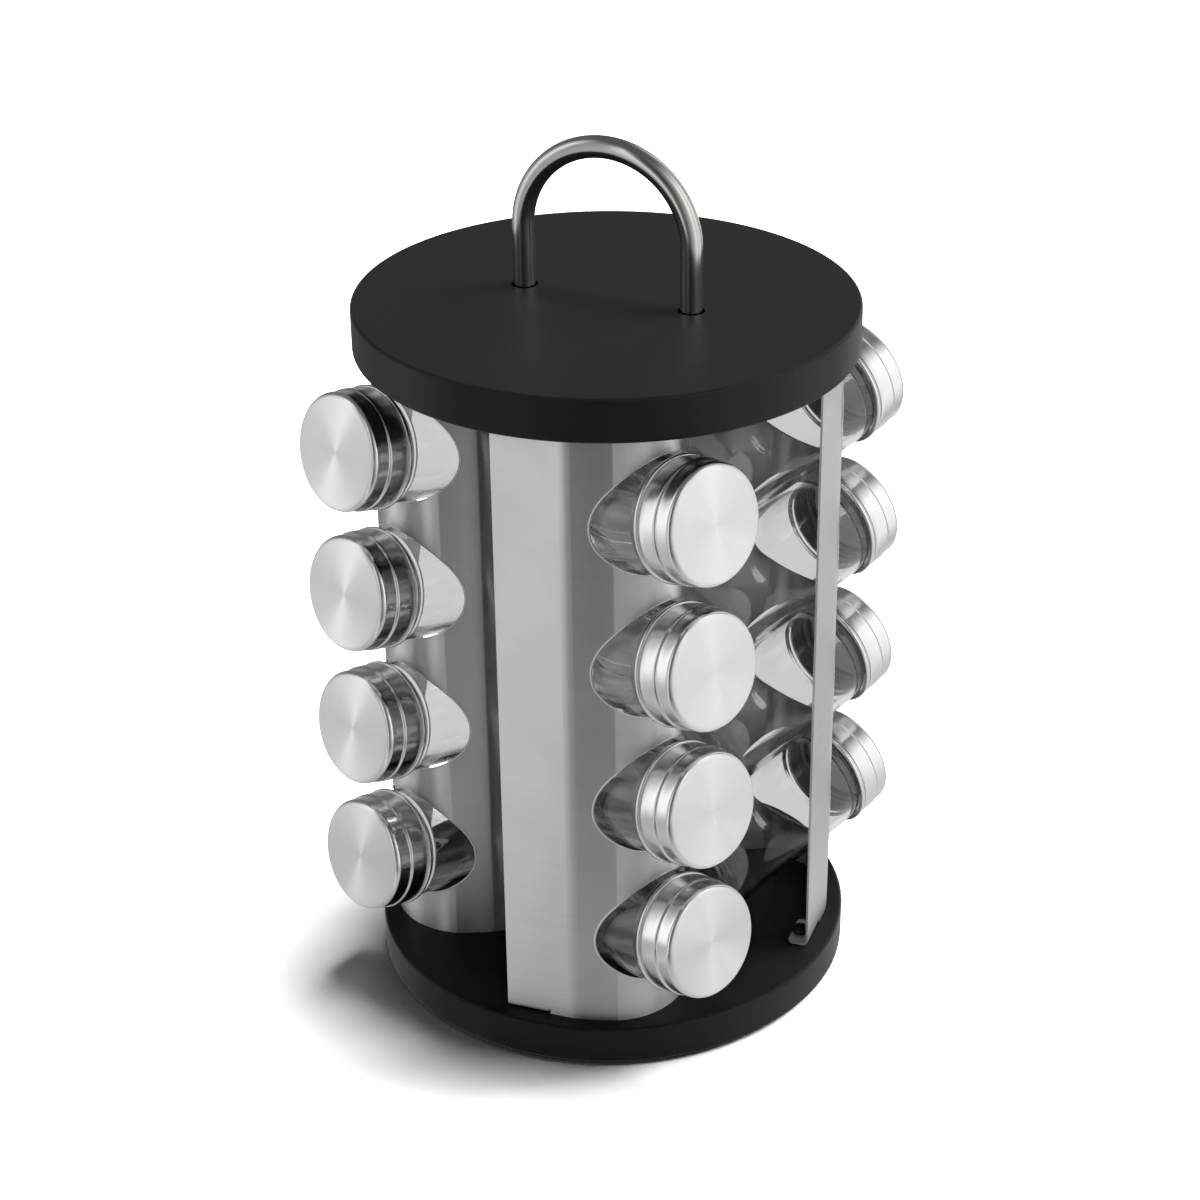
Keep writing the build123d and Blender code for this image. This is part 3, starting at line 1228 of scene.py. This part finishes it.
@dataclass
class Turntable:
    """Discs, plates, balls, pads and sifters, whose CAD shapes stay."""

    discs: tuple[str, ...] = ("base_disc", "top_disc")
    plates: tuple[str, ...] = ("turntable_plate", "foot_plate")
    sifters: list[str] = field(default_factory=lambda: [f"sifter_{jar}" for jar in JARS])

    def build(self, finishes: dict[str, bpy.types.Material]) -> None:
        """Dress the nodes.

        Args:
            finishes: materials by slot.
        """
        dress(self.discs, finishes["disc_lacquer"])
        dress(self.plates, finishes["plate_steel"])
        dress(["bearing_balls"], finishes["ball_steel"])
        dress(["rubber_pads"], finishes["pad_rubber"])
        dress(self.sifters, finishes["sifter_plastic"])


# Studio


@dataclass(frozen=True)
class Lamp:
    """Soft lamp, so far away that its light comes from one side, with its heading from the right toward the back."""

    heading: float
    height: float
    spread: float
    strength: float

    def hang(self, name: str, facing: Matrix) -> None:
        """Hang the lamp.

        Args:
            name: the lamp's name.
            facing: the turn from the camera's layout to the CAD frame.
        """
        lamp = bpy.data.lights.new(name, "SUN")
        lamp.energy = self.strength
        lamp.angle = radians(self.spread)
        turn, height = radians(self.heading), radians(self.height)
        toward = Vector((cos(height) * cos(turn), cos(height) * sin(turn), sin(height)))
        item = stand(name, lamp, facing @ toward.to_track_quat("Z", "Y").to_matrix().to_4x4())
        item.visible_glossy = False


@dataclass
class Studio:
    """White sweep, two soft lamps and a ring of bright and dark walls, seen from the camera: X right, Y away, Z up."""

    turn: float = 44.25
    camera_spot: tuple[float, float, float] = (38.543, -889.353, 618.787)
    pitch: float = 27.904
    roll: float = 0.540
    lens: float = 80.669
    sensor: float = 36.0
    shift_x: float = -0.09453
    clip: tuple[float, float] = (0.01, 50.0)
    floor_size: float = 8.0
    floor_white: float = 0.8  # for light that the floor sends on
    floor_gain: float = 2.9  # to the camera, white where no shadow falls
    floor_through: float = 0.83  # through one jar
    floor_glow: float = 0.6  # share of the mirrored floor that shadows leave bright
    floor_level: float = 0.85  # brightness of that share
    sweep_reach: tuple[float, float] = (0.2, 1.2)
    sweep_level: tuple[float, float] = (0.92, 1.1)
    wall_reach: tuple[float, float] = (0.15, 0.45)
    wall_share: tuple[float, float] = (0.2, 1.0)
    overhead: Lamp = Lamp(heading=40.0, height=82.3, spread=14.0, strength=1.5)
    beside: Lamp = Lamp(heading=18.0, height=40.0, spread=36.0, strength=1.85)
    sky_diffuse: float = 0.03
    sky_high: float = 0.16
    sky_heights: tuple[float, float] = (0.6, 0.9)
    wall_power: float = 1.5
    wall_heights: tuple[float, float] = (0.05, 0.3)
    sky_through: float = 0.7
    second_jar: float = 0.2  # what is left behind a second jar
    jar_surfaces: tuple[float, float] = (4.5, 7.5)  # glass surfaces passed after one jar and after most of the second
    bounces: int = 24
    glass_bounces: int = 20
    gloss_bounces: int = 8
    ring: tuple[tuple[float, float], ...] = (
        (-180, 0.3), (-130, 0.35), (-112, 0.5), (-88, 1.45), (-65, 0.6), (-44, 0.7), (-39, 1.25),
        (-31, 1.25), (-27, 0.4), (-17, 0.22), (-12, 0.18), (-1, 0.18), (4, 0.34), (10, 0.5),
        (16, 0.52), (24, 0.6), (33, 0.9), (44, 1.15), (54, 1.6), (62, 1.3), (70, 1.05),
        (84, 1.3), (94, 1.5), (118, 0.55), (138, 1.0), (155, 0.9), (172, 0.3), (180, 0.3),
    )

    def facing(self) -> Matrix:
        """Turn from the camera's layout to the CAD frame."""
        return Matrix.Rotation(radians(self.turn), 4, "Z")

    def camera(self) -> None:
        """Set the camera where the photograph was taken."""
        down, lean = radians(self.pitch), radians(self.roll)
        ahead = Vector((0.0, cos(down), -sin(down)))
        level = Vector((1.0, 0.0, 0.0))
        upright = level.cross(ahead)
        right = level * cos(lean) + upright * sin(lean)
        up = upright * cos(lean) - level * sin(lean)
        tripod = Matrix((right, up, -ahead)).transposed().to_4x4()
        data = bpy.data.cameras.new("camera")
        data.lens = self.lens
        data.sensor_width = self.sensor
        data.sensor_fit = "HORIZONTAL"
        data.shift_x = self.shift_x
        data.clip_start, data.clip_end = self.clip
        place = self.facing() @ Matrix.Translation(Vector(self.camera_spot) * MM) @ tripod
        bpy.context.scene.camera = stand("camera", data, place)

    def ring_group(self) -> bpy.types.NodeTree:
        """Build the ring of walls that shows in reflections.

        Returns:
            A group from a Vector, a direction from the spin axis, to the Level of the wall there. Headings count
            from 0 at the camera over 90 on its right to 180 behind the carousel.
        """
        tree, source, sink = new_group("studio_ring", {"Vector": "Vector"}, {"Level": "Float"})
        aim = tree.add("SeparateXYZ", {0: source.outputs["Vector"]})
        around = tree.math("ARCTAN2", aim.outputs[1], aim.outputs[0])
        share = tree.math("FRACT", tree.math("MULTIPLY_ADD", around, 0.5 / pi, (270 - self.turn) / 360))
        ramp = tree.add("ValToRGB", {0: share})
        stops = ramp.color_ramp.elements
        for index, (heading, tone) in enumerate(self.ring):
            spot = heading / 360 + 0.5
            stop = stops[index] if index < 2 else stops.new(spot)
            stop.position = spot
            stop.color = (tone, tone, tone, 1.0)
        tree.join(ramp.outputs[0], sink.inputs["Level"])
        return tree.tree

    def through(self, tree: Tree, path: bpy.types.Node, level: float) -> bpy.types.NodeSocket:
        """Dim what shows through glass once it has passed one whole jar.

        Args:
            tree: the tree to add to.
            path: its light path node.
            level: the level behind one jar.

        Returns:
            The level behind any number of jars.
        """
        return tree.between(path.outputs["Transmission Depth"], *self.jar_surfaces, level, level * self.second_jar)

    def floor(self, ring: bpy.types.NodeTree) -> None:
        """Lay the white floor, which keeps the object's shadow.

        Args:
            ring: the walls' group.
        """
        work = bmesh.new()
        half = self.floor_size / 2
        corners = ((-half, -half), (half, -half), (half, half), (-half, half))
        work.faces.new([work.verts.new((x, y, 0.0)) for x, y in corners])
        mesh = settled(work, "white_floor")
        material = bpy.data.materials.new("white_floor")
        tree = clear_tree(material)
        path = tree.add("LightPath")
        spot = tree.add("NewGeometry").outputs["Position"]
        away = tree.length(spot)
        sweep = tree.between(away, *self.sweep_reach, *self.sweep_level)
        wall = tree.group(ring, Vector=spot).outputs["Level"]
        walled = tree.mix(tree.between(away, *self.wall_reach, *self.wall_share), 1.0, wall)
        tone = tree.mix(path.outputs["Is Glossy Ray"], self.floor_white, tree.math("MULTIPLY", sweep, walled))
        tone = tree.mix(path.outputs["Is Transmission Ray"], tone, self.through(tree, path, self.floor_through))
        tone = tree.mix(path.outputs["Is Camera Ray"], tone, self.floor_gain)
        colour = tree.add("CombineColor", {0: tone, 1: tone, 2: tone}).outputs[0]
        matte = tree.add("BsdfDiffuse", {"Color": colour})
        bright = tree.add("Emission", {"Color": colour, "Strength": self.floor_level})
        share = tree.math("MULTIPLY", path.outputs["Is Glossy Ray"], self.floor_glow)
        mixed = tree.add("MixShader", {0: share, 1: matte.outputs[0], 2: bright.outputs[0]})
        tree.add("OutputMaterial", {"Surface": mixed.outputs[0]})
        mesh.materials.append(material)
        stand("white_floor", mesh, Matrix.Identity(4))

    def light(self, ring: bpy.types.NodeTree) -> None:
        """Hang both lamps and set the sky.

        Args:
            ring: the walls' group.
        """
        self.overhead.hang("overhead", self.facing())
        self.beside.hang("beside", self.facing())
        world = bpy.data.worlds.new("studio")
        bpy.context.scene.world = world
        tree = clear_tree(world)
        path = tree.add("LightPath")
        aim = tree.add("TexCoord").outputs["Generated"]
        height = tree.add("SeparateXYZ", {0: aim}).outputs[2]
        wall = tree.group(ring, Vector=aim).outputs["Level"]
        wall = tree.math("POWER", wall, tree.between(height, *self.wall_heights, 1.0, self.wall_power))
        sky = tree.mix(tree.between(height, *self.sky_heights, 0.0, 1.0), wall, self.sky_high)
        level = tree.mix(path.outputs["Is Glossy Ray"], self.sky_diffuse, sky)
        level = tree.mix(path.outputs["Is Transmission Ray"], level, self.through(tree, path, self.sky_through))
        level = tree.mix(path.outputs["Is Camera Ray"], level, 1.0)
        ground = tree.add("Background", {"Color": (1.0, 1.0, 1.0, 1.0), "Strength": level})
        tree.add("OutputWorld", {"Surface": ground.outputs[0]})

    def build(self) -> None:
        """Set up the whole studio."""
        self.camera()
        ring = self.ring_group()
        self.floor(ring)
        self.light(ring)
        scene = bpy.context.scene
        scene.view_settings.view_transform = "Standard"
        scene.cycles.max_bounces = self.bounces
        scene.cycles.transmission_bounces = self.glass_bounces
        scene.cycles.transparent_max_bounces = self.bounces
        scene.cycles.glossy_bounces = self.gloss_bounces
        scene.cycles.caustics_reflective = False
        scene.cycles.caustics_refractive = True


def finishes(effects: Effects) -> dict[str, bpy.types.Material]:
    """Make every finish of the carousel.

    Args:
        effects: the shared node groups.

    Returns:
        Materials by slot.
    """
    kinds = {
        "disc_lacquer": Lacquer(
            "black_lacquer", (0.015, 0.015, 0.0154), (0.021, 0.021, 0.021), smooth=0.36, rough=0.46
        ),
        "panel_steel": BrushedSteel(
            "level_brushed_steel", BrushPath.LEVEL, (0.61, 0.61, 0.60), (0.69, 0.69, 0.68), smooth=0.37, rough=0.41,
            fineness=2600.0, length=22.0, anisotropy=0.95, depth=0.0000015,
        ),
        "lip_steel": BrushedSteel(
            "rolled_lip_steel", BrushPath.LEVEL, (0.6, 0.6, 0.59), (0.72, 0.72, 0.71), smooth=0.18, rough=0.28,
            fineness=2200.0, length=70.0, anisotropy=0.0, depth=0.000004,
        ),
        "handle_steel": BrushedSteel(
            "drawn_steel", BrushPath.DRAWN, (0.46, 0.45, 0.43), (0.56, 0.55, 0.53), smooth=0.12, rough=0.2,
            fineness=2600.0, length=60.0, anisotropy=0.2, depth=0.000003,
        ),
        "cap_steel": BrushedSteel(
            "spun_steel", BrushPath.SPUN, (0.75, 0.75, 0.74), (0.79, 0.79, 0.78), smooth=0.36, rough=0.40,
            fineness=2800.0, length=2.0, anisotropy=0.92, depth=0.0000006,
        ),
        "cap_side": BrushedSteel(
            "polished_side_steel", BrushPath.SPUN, (0.68, 0.68, 0.67), (0.74, 0.74, 0.73), smooth=0.15, rough=0.2,
            fineness=2800.0, length=2.0, anisotropy=0.5, depth=0.0000006,
        ),
        "plate_steel": BrushedSteel(
            "zinc_plate", BrushPath.LEVEL, (0.42, 0.43, 0.44), (0.55, 0.56, 0.57), smooth=0.34, rough=0.48,
            fineness=500.0, length=300.0, anisotropy=0.0, depth=0.00001,
        ),
        "ball_steel": BrushedSteel(
            "ball_steel", BrushPath.LEVEL, (0.6, 0.6, 0.6), (0.68, 0.68, 0.68), smooth=0.08, rough=0.14,
            fineness=900.0, length=900.0, anisotropy=0.0, depth=0.000002,
        ),
        "jar_glass": ClearGlass("clear_glass", (0.985, 0.987, 0.986), wave=0.00004),
        "sifter_plastic": Moulded(
            "natural_plastic", (0.80, 0.81, 0.80), (0.87, 0.88, 0.87), smooth=0.38, rough=0.5,
            grain=1500.0, depth=0.00002, soft=0.25,
        ),
        "screw_black": Moulded(
            "black_oxide", (0.016, 0.016, 0.017), (0.035, 0.034, 0.033), smooth=0.3, rough=0.45,
            grain=2500.0, depth=0.00001, metallic=0.6,
        ),
        "pad_rubber": Moulded(
            "pad_rubber", (0.02, 0.02, 0.02), (0.035, 0.035, 0.034), smooth=0.65, rough=0.8,
            grain=1800.0, depth=0.00004,
        ),
    }
    return {slot: kind.material(effects) for slot, kind in kinds.items()}


def main() -> None:
    """Build the carousel, dress it and light it."""
    logging.basicConfig(level=logging.INFO, format="%(name)s: %(message)s")
    effects = Effects(brush_lines_group(), handling_haze_group(), pebble_group())
    coats = finishes(effects)
    Turntable().build(coats)
    Panels().build(coats["panel_steel"], coats["lip_steel"])
    Handle().build(coats["handle_steel"])
    Screws().build(coats["screw_black"])
    Jars().build(coats["jar_glass"])
    Caps().build(coats["cap_steel"], coats["cap_side"])
    Studio().build()


if __name__ == "__main__":
    main()
